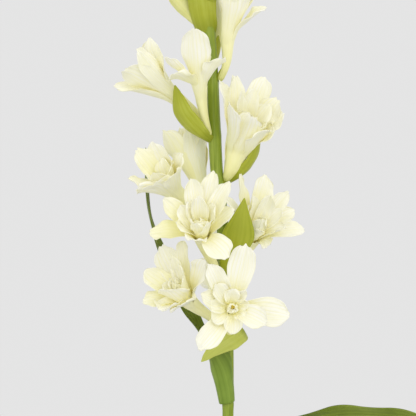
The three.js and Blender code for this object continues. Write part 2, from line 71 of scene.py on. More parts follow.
def raise_wall(name, rings, sides):
    """Extrudes a disc through rings of (radius, middle of the ring) and closes the last one."""
    bpy.ops.object.select_all(action="DESELECT")
    radius, middle = rings[0]
    bpy.ops.mesh.primitive_circle_add(
        vertices=sides, radius=radius * MM, location=Vector(middle) * MM, fill_type="NGON"
    )
    piece = bpy.context.object
    bpy.ops.object.mode_set(mode="EDIT")
    bpy.ops.mesh.select_all(action="SELECT")
    for (r0, low), (r1, high) in zip(rings, rings[1:]):
        step = (Vector(high) - Vector(low)) * MM
        bpy.ops.mesh.extrude_region_move(TRANSFORM_OT_translate={"value": step})
        scale = (r1 / r0, r1 / r0, 1)
        bpy.ops.transform.resize(value=scale, center_override=Vector(high) * MM)
    bpy.ops.mesh.select_all(action="SELECT")
    bpy.ops.mesh.normals_make_consistent(inside=False)
    bpy.ops.object.mode_set(mode="OBJECT")
    bpy.ops.object.transform_apply(location=True, rotation=True, scale=True)
    piece.name = piece.data.name = name
    return piece


def spline(points, steps=12):
    """A smooth line through the points, as a list of points."""
    route = [Vector(p) for p in points]
    route = [2 * route[0] - route[1], *route, 2 * route[-1] - route[-2]]
    line = []
    for a, b, c, d in zip(route, route[1:], route[2:], route[3:]):
        before, here, after = [(q - p).length ** 0.5 for p, q in ((a, b), (b, c), (c, d))]
        leave = (b - a) / before - (c - a) / (before + here) + (c - b) / here
        arrive = (c - b) / here - (d - b) / (here + after) + (d - c) / after
        hold, meet = b + leave * here / 3, c - arrive * here / 3
        line += geometry.interpolate_bezier(b, hold, meet, c, steps + 1)[:-1]
    return [*line, route[-2]]


def smooth(piece, levels=1, thick=0):
    """Gives a sheet its thickness and rounds its facets."""
    bpy.ops.object.select_all(action="DESELECT")
    bpy.context.view_layer.objects.active = piece
    piece.select_set(True)
    if thick:
        wall = piece.modifiers.new("Solidify", "SOLIDIFY")
        wall.thickness = thick * MM
        wall.offset = 0
        bpy.ops.object.modifier_apply(modifier=wall.name)
    if levels:
        round_off = piece.modifiers.new("Subdivision", "SUBSURF")
        round_off.levels = round_off.render_levels = levels
        bpy.ops.object.modifier_apply(modifier=round_off.name)
    bpy.ops.object.shade_smooth()


def node(tree, kind, inputs=(), **settings):
    """Adds a shader node: each input is a value or another node's output."""
    made = tree.nodes.new(kind)
    for key, value in settings.items():
        setattr(made, key, value)
    for key, value in dict(inputs).items():
        if isinstance(value, bpy.types.NodeSocket):
            tree.links.new(value, made.inputs[key])
        else:
            made.inputs[key].default_value = value
    return made


def blank(name, **surface):
    """A new material with its shader's own values set, and its node tree and shader."""
    made = bpy.data.materials.new(name)
    made.use_nodes = True
    shader = made.node_tree.nodes["Principled BSDF"]
    for key, value in surface.items():
        shader.inputs[key.replace("_", " ")].default_value = value
    return made, made.node_tree, shader


def ramp(tree, factor, stops):
    """A colour ramp over the factor: stops are (place, colour) pairs."""
    made = node(tree, "ShaderNodeValToRGB", {"Fac": factor})
    elements = made.color_ramp.elements
    while len(elements) < len(stops):
        elements.new(1.0)
    for element, (place, colour) in zip(elements, stops):
        element.position = place
        element.color = colour
    return made.outputs["Color"]


def dress(piece, material, slot, *nodes):
    """Puts the material on a finished piece, and the piece on the part in place of its nodes."""
    piece.data.materials.clear()
    piece.data.materials.append(material)
    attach(piece, "root")
    if nodes:
        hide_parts(*nodes)


glaze, tree, shader = blank("white_glaze", Roughness=0.22, Coat_Weight=0.5, Coat_Roughness=0.08)
place = node(tree, "ShaderNodeTexCoord").outputs["Object"]
cloud = node(tree, "ShaderNodeTexNoise", {"Vector": place, "Scale": 18, "Detail": 5})
specks = node(tree, "ShaderNodeTexVoronoi", {"Vector": place, "Scale": 420})
speck_edge = node(
    tree, "ShaderNodeMapRange",
    {"Value": specks.outputs["Distance"], "From Min": 0.04, "From Max": 0.12},
)
body = ramp(tree, cloud.outputs["Fac"], [(0.4, GLAZE_WHITE), (0.95, GLAZE_THIN)])
speckled = node(
    tree, "ShaderNodeMix", {"Factor": speck_edge.outputs["Result"], "A": GLAZE_THIN, "B": body},
    data_type="RGBA",
)
tree.links.new(speckled.outputs["Result"], shader.inputs["Base Color"])
turning = node(
    tree, "ShaderNodeTexWave", {"Vector": place, "Scale": 40, "Distortion": 1.5},
    bands_direction="Z",
)
rings_bump = node(
    tree, "ShaderNodeBump",
    {"Height": turning.outputs["Fac"], "Strength": 0.12, "Distance": 0.0004},
)
tree.links.new(rings_bump.outputs["Normal"], shader.inputs["Normal"])

profile = spline([(r, 0, z) for r, z in VASE_RINGS], PROFILE_STEPS)
vase = raise_wall("bottle_vase", [(p.x, (0, 0, p.z)) for p in profile], VASE_SIDES)
smooth(vase, 0)
dress(vase, glaze, "glaze", "vase")


# The water fills the vase's belly up to the foot of its neck, just clear of the wall. Its flat top
# stands a little higher at its rim.
WATER_RINGS = [
    (28.6, 8.4), (31, 10), (37.6, 30), (39.8, 56), (35.4, 82.8), (27.4, 97), (22.6, 110.6),
    (21.6, 110.1), (12, 110),
]
water_look, tree, shader = blank(
    "still_water", Roughness=0.02, IOR=1.333, Transmission_Weight=0.9
)
place = node(tree, "ShaderNodeTexCoord").outputs["Object"]
ripple = node(tree, "ShaderNodeTexNoise", {"Vector": place, "Scale": 60, "Detail": 2})
clear = [(0.3, (0.86, 0.93, 0.92, 1)), (0.7, (0.78, 0.88, 0.86, 1))]
tree.links.new(ramp(tree, ripple.outputs["Fac"], clear), shader.inputs["Base Color"])

profile = spline([(r, 0, z) for r, z in WATER_RINGS], PROFILE_STEPS)
water = raise_wall("water_in_vase", [(p.x, (0, 0, p.z)) for p in profile], VASE_SIDES)
smooth(water, 0)
dress(water, water_look, "water", "water")


# The stem is one green stalk, a little ribbed, with a slight knee where each floret's tube leaves
# it. It is stiff and straight below the florets and leans over towards its tip.
STEM_ROUTE = [
    (3, 0, 8.3), (-1.2, 0.6, 80), (-4.5, 0.4, 140), (-5, 0, 190), (-5, 0, 268), (-5, 0, 311),
    (-7, 0, 360), (-9.4, 0, 402), (-12.3, 0, 427), (-13.4, 0, 445), (-14.4, 0, 467),
    (-15.2, 0, 486), (-16.4, 0, 506), (-17.8, 0, 527), (-18.9, 0, 545), (-20.5, 0, 575),
    (-22, 0, 606),
]
STEM_GIRTH = [
    (8, 3.6), (300, 3.6), (400, 3.8), (445, 4.1), (490, 3.9), (530, 4), (560, 3), (606, 1.6),
]
STEM_SIDES = 32
STEM_STEPS = 150
STEM_MARKS = 600
STEM_RIBS = 8
RIB_DEPTH = 0.035
RIB_TWIST = 14
KNEES = (276, 316, 322, 334, 350, 368, 400, 421, 450, 486, 498, 520, 545)
KNEE_REACH = 2.4
KNEE_SWELL = 0.25
GREEN_STEM = [
    (0.0, (0.14, 0.2, 0.01, 1)), (0.5, (0.25, 0.33, 0.025, 1)), (1.0, (0.42, 0.5, 0.09, 1)),
]


def between(table, at):
    """The value at a place in a table of (place, value) pairs."""
    for (a, low), (b, high) in zip(table, table[1:]):
        if at <= b:
            return low + (high - low) * max(0, (at - a) / (b - a))
    return table[-1][1]


def even(line, steps):
    """The same line as (point, direction) pairs that are evenly spaced along it."""
    reach = [0]
    for a, b in zip(line, line[1:]):
        reach.append(reach[-1] + (b - a).length)
    spots = []
    k = 0
    for i in range(steps + 1):
        want = reach[-1] * i / steps
        while k < len(line) - 2 and reach[k + 1] < want:
            k += 1
        share = (want - reach[k]) / (reach[k + 1] - reach[k])
        spots.append((line[k].lerp(line[k + 1], share), (line[k + 1] - line[k]).normalized()))
    return spots


stem_line = even(spline(STEM_ROUTE), STEM_MARKS)


def stem_at(height):
    """The middle of the stem at a height."""
    return min(stem_line, key=lambda spot: abs(spot[0].z - height))[0].copy()


leafy, tree, shader = blank(
    "green_stem_skin", Roughness=0.42, Specular_IOR_Level=0.35, Subsurface_Weight=0.15,
    Subsurface_Scale=0.001, Subsurface_Radius=(1, 1, 0.7),
)
place = node(tree, "ShaderNodeTexCoord").outputs["Object"]
grain_frame = node(tree, "ShaderNodeMapping", {"Vector": place, "Scale": (900, 900, 22)})
grain = node(
    tree, "ShaderNodeTexNoise", {"Vector": grain_frame.outputs["Vector"], "Scale": 1, "Detail": 3}
)
flush = node(tree, "ShaderNodeTexNoise", {"Vector": place, "Scale": 26, "Detail": 3})
blend = node(
    tree, "ShaderNodeMix",
    {"Factor": 0.45, "A": flush.outputs["Fac"], "B": grain.outputs["Fac"]},
)
green_at = node(
    tree, "ShaderNodeMapRange",
    {"Value": blend.outputs["Result"], "From Min": 0.3, "From Max": 0.7},
)
tree.links.new(ramp(tree, green_at.outputs["Result"], GREEN_STEM), shader.inputs["Base Color"])
skin = node(
    tree, "ShaderNodeBump",
    {"Height": grain.outputs["Fac"], "Strength": 0.3, "Distance": 0.0003},
)
tree.links.new(skin.outputs["Normal"], shader.inputs["Normal"])

stem_rings = []
for point, _ in even(spline(STEM_ROUTE), STEM_STEPS):
    knee = max(math.exp(-(((point.z - height) / KNEE_REACH) ** 2)) for height in KNEES)
    stem_rings.append((between(STEM_GIRTH, point.z) + KNEE_SWELL * knee, point))
stem = raise_wall("flower_stem", stem_rings, STEM_SIDES)
for vertex in stem.data.vertices:
    middle = stem_at(vertex.co.z / MM) * MM
    spoke = vertex.co - middle
    spoke.z = 0
    turn = math.atan2(spoke.y, spoke.x)
    vertex.co += spoke * RIB_DEPTH * math.cos(STEM_RIBS * turn + RIB_TWIST * vertex.co.z)
smooth(stem, 0)
dress(stem, leafy, "stem_green", "stem")


# A bract grows from the stem under each floret: a thin keeled blade, yellow-green and darker at
# its base. It is laid out flat as a grid, curved along its route and thickened. The lowest one
# folds over to the left; its paler colour is painted light on its lit front band, and its darker
# first part, by the stem, is partly its darker base and partly painted shade of the fold.
BRACT_THICK = 0.55
BRACT_WIDTH = [
    (0, 0.5), (0.15, 0.72), (0.3, 0.9), (0.5, 1), (0.65, 0.9), (0.8, 0.65), (0.92, 0.33), (1, 0.04),
]
BRACT_CUP = [(0, 75), (0.5, 35), (1, 15)]
BRACT_SUNK = 1
SMALL_DROP = 4
SMALL_WIDTH = (4, 1.5)
SMALL_TIP_CLEAR = 2
KEEL_SPREAD = 0.2
# Each bract is (height on the stem, turn round it, middle points, tip, width, way it faces).
BRACTS = {
    "bract_top_slip": (484, 0, [(-8.6, 0, 491)], (-5.6, 1, 500), 8, (-0.9, 0.3, 0.3)),
    "bract_top_back": (497, 20, [(-11.9, 2, 507)], (-11.4, 3, 516), 6, (-0.5, 0.8, 0.2)),
    "bract_upper_left": (
        446, 215, [(-24, -8, 451), (-35, -11, 464)], (-39.4, -9, 482.5), 17, (0.5, 0.75, 0.45)
    ),
    "bract_right": (
        418, 345, [(2.6, -0.5, 424), (11.2, 0, 434)], (16.4, 1, 448.7), 14, (-0.6, 0.45, 0.6)
    ),
    "bract_middle": (
        353, 300, [(-5.5, -9, 366), (1.2, -14, 382)], (5.4, -14, 409.7), 23, (-0.15, 0.95, 0.1)
    ),
    "bract_top_front": (
        514, 235, [(-21.8, -5, 527), (-23.6, -8, 545)], (-26, -9, 570), 21, (0.25, 0.95, 0.1)
    ),
}
OWN_WIDTHS = {
    "bract_top_front": [
        (0, 0.66), (0.1, 0.94), (0.3, 1), (0.5, 1), (0.65, 0.9), (0.8, 0.65), (0.92, 0.33),
        (1, 0.04),
    ],
    "bract_middle": [
        (0, 0.38), (0.2, 0.46), (0.36, 0.64), (0.48, 0.86), (0.56, 0.99), (0.61, 0.98),
        (0.68, 0.86), (0.82, 0.48), (0.93, 0.2), (1, 0.03),
    ],
}
LOW_BRACT = {
    "route": [
        (-2.4, 1, 323), (1.5, 1.2, 324.5), (5.2, -2.5, 324), (2.2, -8, 321.5),
        (-5, -11.5, 317.5), (-14, -12.8, 312), (-22.4, -12.5, 304.5),
    ],
    "faces": [
        (0, -1, 0.3), (-0.84, 0.26, -0.47), (0, 0.8, -0.5), (0, 1, 0.2), (0, 1, 0.4), (0, 1, 0.4)
    ],
    "widths": [(0, 7), (0.2, 11), (0.5, 14), (0.75, 10), (0.92, 5), (1, 0.6)],
    "cups": [(0, 50), (0.2, 10), (0.5, 20), (1, 15)],
}


def lay(name, columns, rows, place):
    """A grid of faces. place(across, along) gives each corner's place, both from 0 to 1."""
    bpy.ops.object.select_all(action="DESELECT")
    bpy.ops.mesh.primitive_grid_add(x_subdivisions=columns, y_subdivisions=rows, size=1)
    piece = bpy.context.object
    piece.name = piece.data.name = name
    for vertex in piece.data.vertices:
        vertex.co = place(vertex.co.x + 0.5, vertex.co.y + 0.5) * MM
    return piece


def strap(
    name, route, faces, widths, cups, rows=26, columns=10, keel=0.5, wave=0.3, waves=3, seed=0
):
    """A leaf or bract. faces are the ways its inner side looks, from root to tip."""
    steps = 200
    line = even(spline(route), steps)
    last = len(faces) - 1
    looks = [[(i / last, look[axis]) for i, look in enumerate(faces)] for axis in range(3)]

    def place(across, along):
        t = 2 * across - 1
        point, ahead = line[round(along * steps)]
        look = Vector([between(table, along) for table in looks])
        side = look.cross(ahead).normalized()
        face = ahead.cross(side)
        half = between(widths, along) / 2
        curl = math.radians(between(cups, along))
        out = half * math.sin(curl * t) / curl
        lift = half * (1 - math.cos(curl * t)) / curl
        crease = math.exp(-((t / KEEL_SPREAD) ** 2))
        lift -= keel * crease * math.sin(math.pi * min(1, along * 1.1))
        edge = abs(t) ** 2 * min(1, 4 * along) * min(1, 5 * (1 - along) + 0.2)
        phase = 0.37 * seed + (0.31 if t > 0 else 0)
        lift += wave * edge * math.sin(2 * math.pi * (waves * along + phase))
        return point + side * out + face * lift

    return lay(name, columns, rows, place)


def small_bract(name, line, height, radius, reach=0.62):
    """A small bract under a bud, or under the tube of a floret at the back."""
    marks = 100
    spots = even(line, marks)
    at = spots[round(reach * marks)][0]
    away = at - stem_at(height)
    away.z = 0
    away.normalize()
    root = stem_at(height - SMALL_DROP) + away * (between(STEM_GIRTH, height) - BRACT_SUNK)
    under = Vector((away.x * 0.85, away.y * 0.85, -0.5))
    middle = spots[round(reach * marks / 2)][0] + under * (radius * 0.75 + 1.4)
    look = (-away.x, -away.y, 0.7)
    least, spread = SMALL_WIDTH
    widths = [(s, share * (least + radius * spread)) for s, share in BRACT_WIDTH]
    route = [root, middle, at + under * (radius + SMALL_TIP_CLEAR)]
    return strap(name, route, [look, look], widths, BRACT_CUP, rows=14, columns=8, seed=height)


def veined(name, colours, veins, roughness=0.45, root=None):
    """A green skin with long veins and clouds. root is (from, to, colours) of its lowest part."""
    made, tree, shader = blank(
        name, Roughness=roughness, Specular_IOR_Level=0.3, Subsurface_Weight=0.2,
        Subsurface_Scale=0.001, Subsurface_Radius=(1, 1, 0.7),
    )
    place = node(tree, "ShaderNodeTexCoord")
    along = node(
        tree, "ShaderNodeMapping", {"Vector": place.outputs["UV"], "Scale": (veins, 1.2, 1)}
    )
    lines = node(
        tree, "ShaderNodeTexNoise",
        {"Vector": along.outputs["Vector"], "Scale": 1, "Detail": 3, "Roughness": 0.6},
    )
    cloud = node(
        tree, "ShaderNodeTexNoise", {"Vector": place.outputs["Object"], "Scale": 34, "Detail": 4}
    )
    blend = node(
        tree, "ShaderNodeMix",
        {"Factor": 0.5, "A": lines.outputs["Fac"], "B": cloud.outputs["Fac"]},
    )
    at = node(
        tree, "ShaderNodeMapRange",
        {"Value": blend.outputs["Result"], "From Min": 0.32, "From Max": 0.68},
    )
    body = ramp(tree, at.outputs["Result"], colours)
    if root:
        height = node(tree, "ShaderNodeSeparateXYZ", {"Vector": place.outputs["UV"]})
        low, high, root_colours = root
        share = node(
            tree, "ShaderNodeMapRange",
            {"Value": height.outputs["Y"], "From Min": low, "From Max": high},
        )
        base = ramp(tree, at.outputs["Result"], root_colours)
        mixed = node(
            tree, "ShaderNodeMix", {"Factor": share.outputs["Result"], "A": base, "B": body},
            data_type="RGBA",
        )
        body = mixed.outputs["Result"]
    tree.links.new(body, shader.inputs["Base Color"])
    relief = node(
        tree, "ShaderNodeBump",
        {"Height": lines.outputs["Fac"], "Strength": 0.35, "Distance": 0.0003},
    )
    tree.links.new(relief.outputs["Normal"], shader.inputs["Normal"])
    return made


bract_green = veined(
    "bract_green",
    [(0.0, (0.31, 0.35, 0.015, 1)), (0.5, (0.4, 0.43, 0.03, 1)), (1.0, (0.49, 0.53, 0.08, 1))],
    veins=9, root=(0, 0.25, [(0.0, (0.16, 0.2, 0.005, 1)), (1.0, (0.32, 0.36, 0.02, 1))]),
)
# The lowest bract is paler as painted light on its lit front band; its first part is darker, partly
# its darker base and partly painted shade where it folds by the stem.
bract_painted_light = veined(
    "bract_painted_light",
    [(0.0, (0.45, 0.49, 0.07, 1)), (0.5, (0.55, 0.59, 0.12, 1)), (1.0, (0.64, 0.68, 0.19, 1))],
    veins=9, root=(0.24, 0.34, [(0.0, (0.24, 0.28, 0.01, 1)), (1.0, (0.4, 0.44, 0.05, 1))]),
)


def finish_bract(piece, finish=bract_green):
    """Thickens and rounds a bract and gives it its colour."""
    smooth(piece, 1, BRACT_THICK)
    dress(piece, finish, "stem_green")


for index, (name, (height, turn, middle, tip, width, look)) in enumerate(BRACTS.items()):
    away = Vector((math.cos(math.radians(turn)), math.sin(math.radians(turn)), 0))
    root = stem_at(height) + away * (between(STEM_GIRTH, height) - BRACT_SUNK)
    widths = [(s, share * width) for s, share in OWN_WIDTHS.get(name, BRACT_WIDTH)]
    finish_bract(strap(name, [root, *middle, tip], [look, look], widths, BRACT_CUP, seed=index))
finish_bract(strap("bract_low", **LOW_BRACT, rows=36, keel=0.3, seed=2), bract_painted_light)


# Four strap leaves clasp the stem with a rolled sheath and arch away from it. They are dark olive
# green, keeled, finely veined along their length, and waved at their edges.
LEAF_THICK = 0.7
LEAF_CUP = [(0, 150), (0.06, 135), (0.13, 80), (0.22, 45), (0.5, 20), (1, 12)]
SHEATH_CUP = [(0, 155), (0.07, 152), (0.12, 125), (0.17, 90), (0.23, 50), (0.5, 20), (1, 12)]
SHEATH_WIDTH = [
    (0, 27), (0.06, 31), (0.12, 31), (0.17, 25), (0.22, 18), (0.28, 15.2), (0.45, 14.4),
    (0.6, 13.3), (0.75, 11.2), (0.85, 8.5), (0.92, 5.6), (0.97, 2.9), (1, 0.6),
]
LEAF_WIDTH = [
    (0, 25), (0.06, 25), (0.13, 22), (0.22, 19), (0.45, 18), (0.6, 16.6), (0.75, 14), (0.85, 10.6),
    (0.92, 7), (0.97, 3.6), (1, 0.8),
]
LEAVES = {
    "leaf_upper_left": dict(
        widths=SHEATH_WIDTH, cups=SHEATH_CUP, wave=0.5,
        route=[
            (-7.8, -4.6, 276), (-9.6, -5.2, 286), (-13, -5.8, 300), (-18.8, -3.2, 314),
            (-26, -2, 328), (-34, -2, 342), (-42.5, 0, 359), (-51, 3, 381), (-57.4, 6, 405),
            (-58.6, 7, 422), (-58.8, 7, 443),
        ],
        faces=[
            (0.45, 0.89, 0), (0.5, 0.85, 0), (0.85, -0.1, -0.3), (0.8, -0.5, -0.25),
            (0.8, -0.5, -0.2), (0.9, -0.3, -0.1), (1, -0.1, 0), (1, -0.1, 0), (1, -0.1, 0),
        ],
    ),
    "leaf_right": dict(
        widths=LEAF_WIDTH, cups=LEAF_CUP, wave=1,
        route=[
            (0.3, 0, 218), (1, 0, 229), (8, -1, 242), (28, -5, 257), (58, -9, 268),
            (92, -10, 269), (125, -8, 262), (153, -6, 236),
        ],
        faces=[(-1, 0, 0), (-0.6, -0.1, 0.8), (0, -0.5, 0.85), (0, -0.6, 0.8), (0, -0.4, 0.9)],
    ),
    "leaf_left": dict(
        widths=LEAF_WIDTH, cups=LEAF_CUP, wave=1,
        route=[
            (-10.3, 0, 238), (-11.4, 0.5, 248), (-19, 4, 255.5), (-46, 12, 256), (-80, 20, 243),
            (-112, 26, 212), (-130, 28, 172),
        ],
        faces=[(1, 0, 0), (0.5, -0.2, 0.8), (0.3, -0.4, 0.9)],
    ),
    "leaf_back": dict(
        widths=LEAF_WIDTH, cups=LEAF_CUP, wave=1,
        route=[
            (-4.7, 5.3, 203), (-4.6, 6, 213), (-2, 15, 225), (6, 44, 235), (16, 78, 223),
            (25, 106, 191),
        ],
        faces=[(0, -1, 0), (0.1, -0.4, 0.9), (0.2, -0.3, 0.9)],
    ),
}
leaf_green = veined(
    "leaf_green",
    [(0.0, (0.06, 0.09, 0.003, 1)), (0.5, (0.13, 0.18, 0.006, 1)), (1.0, (0.23, 0.29, 0.03, 1))],
    veins=13, root=(0.1, 0.26, [(0.0, (0.12, 0.2, 0.01, 1)), (1.0, (0.3, 0.42, 0.06, 1))]),
)
for index, (name, leaf) in enumerate(LEAVES.items()):
    blade = strap(
        f"strap_{name}", **leaf, rows=70, columns=14, keel=0.8, waves=5, seed=index + 3
    )
    smooth(blade, 1, LEAF_THICK)
    dress(blade, leaf_green, "leaf_green", name)


# An open floret is a curved waxy tube that widens into two rings of three petals, and in most of
# them a crumpled inner whorl. Tube and petals are one growth: pale green at the root, cream in
# the tube and nearly white at the petals' tips. A petal's claw, its narrow root, lies on the tube.
TUBE_ROOT = 1.7
TUBE_SUNK = 0.6
TUBE_SPRING = 0.5
TUBE_FLARE = 1.4
TUBE_STEPS = 60
TUBE_MARKS = 200
TUBE_GRID = (24, 20)
TUBE_RIBS = 6
TUBE_RIB_DEPTH = 0.035
WALL_FROM = 0.8
LAP = 7
HEART_COUNT = 3
HEART_REACH = 0.62
HEART_WIDTH = 11
HEART_LEAN, HEART_CURL = 12, -34
PETAL_THICK = 0.5
PETAL_STEPS = 60
PETAL_WIDEST = 0.58
PETAL_TIP = (0.28, 0.46)
PETAL_WAVES = (1.1, 2.2)
PETAL_SWAY = (-1.6, 1.6)
PLEAT = 0.16
FRILL = 1.1
MIDRIB = 0.5
FINE_RUFFLE, FINE_WAVES = 0.3, 2.7
# Inner petals use only the lower, yellower part of the colour ramp: painted shade deep in the
# floret.
INNER_PAINTED_SHADE = 0.78
CLAW_DEPTH = 3
CLAW_LAP = 1.3
CLAW_WIDEST = 0.84
CLAW_SUNK = 1.0
CLAW_RUN = {"rim": 0.45, "throat": 0.08}
# Where each ring of petals begins, as a share of the tube's radius at its mouth, how far off the
# tube's wall the two outer rings sit, and how far out in the throat the two inner ones do.
SPRINGS = {"out": 0.8, "between": 0.52, "in": 0.3, "heart": 0.3}
RIM_OFFSETS = {"out": 0.4, "between": -0.15}
SEATS = {"in": 0.6, "heart": 0.36}
# The least and most that a petal rolls its tip and hollows itself, in degrees, and ruffles its
# edges; how much it swells, and its grid.
OUTER_HABIT = dict(roll=(-12, 34), ruffle=(0.8, 1.7), hollow=(8, 40), swell=0.9, grid=(12, 22))
INNER_HABIT = dict(roll=(-24, 20), ruffle=(0.7, 1.4), hollow=(20, 62), swell=1.1, grid=(10, 16))


def whorl(count, first, lean, curl, length, width):
    """Petals evenly round a floret; every other one leans out further."""
    rows = []
    for i in range(count):
        lap = 0 if i % 2 else LAP
        rows.append((first + i * 360 / count, lean + lap, curl + lap, length, width))
    return rows


# Each petal is (turn round the mouth, lean at its root, lean at its tip, length, width). A twist
# may follow, and after it the share of its white colour that it keeps: below 1 it is painted shade,
# yellowing a petal that lies in shade behind or under others.
FLORETS = {
    "top_right": dict(
        leaves=486, mouth=(-3.7, -5, 521), faces=(0.22, -0.25, 0.95), bell=5.4,
        outer=[
            (-14, 34, 46, 27, 14, 30), (-66, 14, 30, 32, 14), (250, 14, 24, 34, 17),
            (190, 8, 20, 34, 13), (120, 20, 38, 33, 14), (55, 14, 34, 33, 14),
        ],
        inner=whorl(2, 30, 4, 12, 26, 12),
    ),
    "top_back": dict(
        leaves=498, mouth=(-9.6, 14, 526), faces=(0.15, 0.55, 0.82), bell=4.4,
        outer=whorl(6, 0, 12, 30, 32, 15), inner=[],
    ),
    "upper_front": dict(
        leaves=450, mouth=(-23.5, -14, 485), faces=(-0.1, -0.5, 0.86), bell=5,
        outer=[
            (262, 8, -8, 42, 20), (338, 34, 40, 24, 20, -35), (190, 34, 40, 29, 13, 45, 0.8),
            (218, 50, 56, 24, 19, 40, 0.6), (95, 10, 14, 31, 15), (40, 12, 20, 24, 13),
        ],
        inner=[],
    ),
    "upper_left": dict(
        leaves=455, mouth=(-42.5, 4, 478), faces=(-0.75, -0.2, 0.6), bell=5,
        outer=[
            (270, 20, 34, 39, 18, -40), (325, 14, 24, 41, 20), (22, 14, 17, 41, 19, 15),
            (80, 16, 25, 41, 18, 55), (150, 20, 28, 36, 16), (212, 14, 28, 36, 17),
        ],
        inner=[],
    ),
    "right": dict(
        leaves=421, mouth=(4.6, -6, 449), faces=(0.35, -0.62, 0.7), bell=10.2, flare=0.85,
        outer=[
            (138, 28, 36, 40, 14), (100, 34, 42, 40, 15), (62, 34, 44, 40, 17),
            (30, 30, 42, 33, 18), (2, 30, 40, 28, 18), (334, 30, 34, 21, 18),
            (286, 12, 20, 24, 19), (236, 10, 16, 29, 19), (188, 22, 30, 38, 17),
        ],
        inner=[
            (80, 18, 28, 34, 14), (28, 18, 28, 29, 14), (130, 16, 26, 34, 14),
            (200, 12, 20, 30, 14), (322, 14, 26, 22, 14),
        ],
    ),
    "left": dict(
        leaves=400, mouth=(-41.4, -5, 416), faces=(-0.5, -0.45, 0.74), bell=6.4,
        outer=[
            (222, 28, 38, 29, 13), (165, 12, 18, 36, 16, 0, 0.6), (115, 10, 14, 34, 18),
            (45, 26, 42, 27, 17, 30), (350, 30, 44, 24, 18), (300, 26, 44, 25, 22),
            (262, 30, 42, 26, 17, 50),
        ],
        inner=whorl(4, 20, 8, 24, 23, 14),
    ),
    "left_back": dict(
        leaves=406, mouth=(-24, 12, 421), faces=(-0.25, 0.2, 0.95), bell=5, back_bract=2.6,
        outer=[
            (212, 20, 12, 42, 20, 25, 0.5), (262, 8, 2, 37, 12, 15, 0.7), (295, 10, 12, 38, 16),
            (340, 14, 22, 36, 16), (45, 14, 26, 34, 15), (110, 8, 18, 36, 17),
        ],
        inner=[(240, 9, 1, 40, 15, 12), (282, 6, 8, 36, 12, 10)],
    ),
    "middle": dict(
        leaves=353, mouth=(-22.4, -26, 388), faces=(-0.1, -0.8, 0.6), bell=6,
        outer=[
            (78, 40, 52, 38, 13), (48, 36, 52, 38, 13), (24, 46, 62, 24, 14),
            (308, 62, 86, 30, 19), (255, 28, 42, 17, 16), (184, 72, 98, 31, 17, 12, 0.25),
            (148, 44, 60, 30, 13, -40, 0.4), (106, 36, 48, 35, 13),
        ],
        inner=[
            (84, 14, 30, 27, 14), (118, 22, 36, 25, 13), (152, 28, 44, 24, 12, -30),
            (190, 30, 50, 21, 13), (236, 16, 6, 21, 15), (282, 16, 4, 19, 15),
            (326, 22, 18, 21, 14), (40, 20, 36, 24, 13),
        ],
    ),
    "lower_right": dict(
        leaves=350, mouth=(12, 6, 387), faces=(0.45, -0.6, 0.66), bell=7, flare=1.6,
        outer=[
            (72, 34, 46, 38, 17, 0, 0.7), (118, 38, 46, 42, 10, 0, 0.5), (34, 36, 48, 35, 12),
            (12, 40, 54, 31, 13), (350, 54, 78, 33, 16), (300, 66, 92, 10, 15),
            (152, 44, 56, 35, 11),
        ],
        inner=[
            (105, 22, 34, 27, 13), (60, 18, 30, 29, 13), (20, 22, 36, 26, 12),
            (335, 30, 50, 23, 12), (140, 24, 38, 23, 11), (250, 8, 14, 11, 12),
        ],
    ),
    "bottom_front": dict(
        leaves=316, mouth=(-3, -31, 340), faces=(0.1, -0.97, 0.2), bell=5, heart=False,
        stamen_depth=-3.6,
        outer=[
            (78, 56, 76, 40, 18), (122, 44, 64, 35, 14), (353, 69, 91, 34, 20),
            (334, 44, 64, 26, 17), (232, 64, 90, 33, 16), (160, 42, 64, 25, 13),
        ],
        inner=[
            (93, 30, 42, 16, 11), (58, 36, 52, 17, 8), (15, 36, 56, 13, 9),
            (320, 40, 64, 12, 10), (272, 50, 84, 17, 15), (208, 44, 72, 18, 12),
            (178, 40, 62, 19, 10), (130, 38, 54, 23, 12), (50, 8, -14, 9, 8),
            (140, 8, -14, 9, 8), (230, 8, -12, 8, 8), (310, 8, -12, 8, 8),
        ],
    ),
    "bottom_left": dict(
        leaves=322, mouth=(-32.3, -18, 346.7), faces=(-0.5, -0.55, 0.67), bell=5.6,
        outer=[
            (132, 36, 48, 37, 17), (95, 36, 48, 37, 12), (172, 32, 44, 31, 16, 0, 0.5),
            (30, 42, 54, 35, 16, 45), (217, 46, 62, 26, 17, 0, 0.45), (280, 30, 0, 22, 26),
            (310, 54, 46, 18, 20), (262, 52, 54, 21, 22),
        ],
        inner=[
            (108, 20, 30, 30, 11), (75, 14, 24, 25, 11), (165, 12, 20, 18, 10),
            (200, 20, 30, 19, 13), (30, 14, 26, 22, 13), (255, 16, 8, 14, 12),
        ],
    ),
    "back": dict(
        leaves=368, mouth=(-20.6, 26, 390), faces=(-0.1, 0.85, 0.5), bell=5, back_bract=3,
        outer=whorl(6, 10, 24, 50, 30, 17), inner=whorl(3, 40, 6, 22, 24, 14),
    ),
    "low_back": dict(
        leaves=334, mouth=(-12, 28, 350), faces=(0.15, 0.9, 0.4), bell=5, back_bract=3,
        outer=whorl(6, 30, 18, 40, 28, 16), inner=whorl(3, 0, 6, 20, 22, 12),
    ),
}


def mouth_frame(mouth, faces):
    """The middle of a floret's mouth, the way it looks, and its up and right."""
    out = Vector(faces).normalized()
    hint = Vector((0, 0, 1)) if abs(out.z) < 0.8 else Vector((0, 1, 0))
    up = (hint - out * hint.dot(out)).normalized()
    return Vector(mouth), out, up, up.cross(out)


def tube_line(mouth, out, leaves):
    """The middle line of a floret's tube, from just inside the stem's skin to its mouth."""
    root = stem_at(leaves)
    aside = mouth - root
    aside.z = 0
    aside.normalize()
    root += aside * (between(STEM_GIRTH, leaves) + TUBE_ROOT - TUBE_SUNK)
    spring = (mouth - root).length * TUBE_SPRING
    leave = root + Vector((aside.x * 0.5, aside.y * 0.5, 0.85)) * spring
    return geometry.interpolate_bezier(root, leave, mouth - out * spring, mouth, TUBE_STEPS)


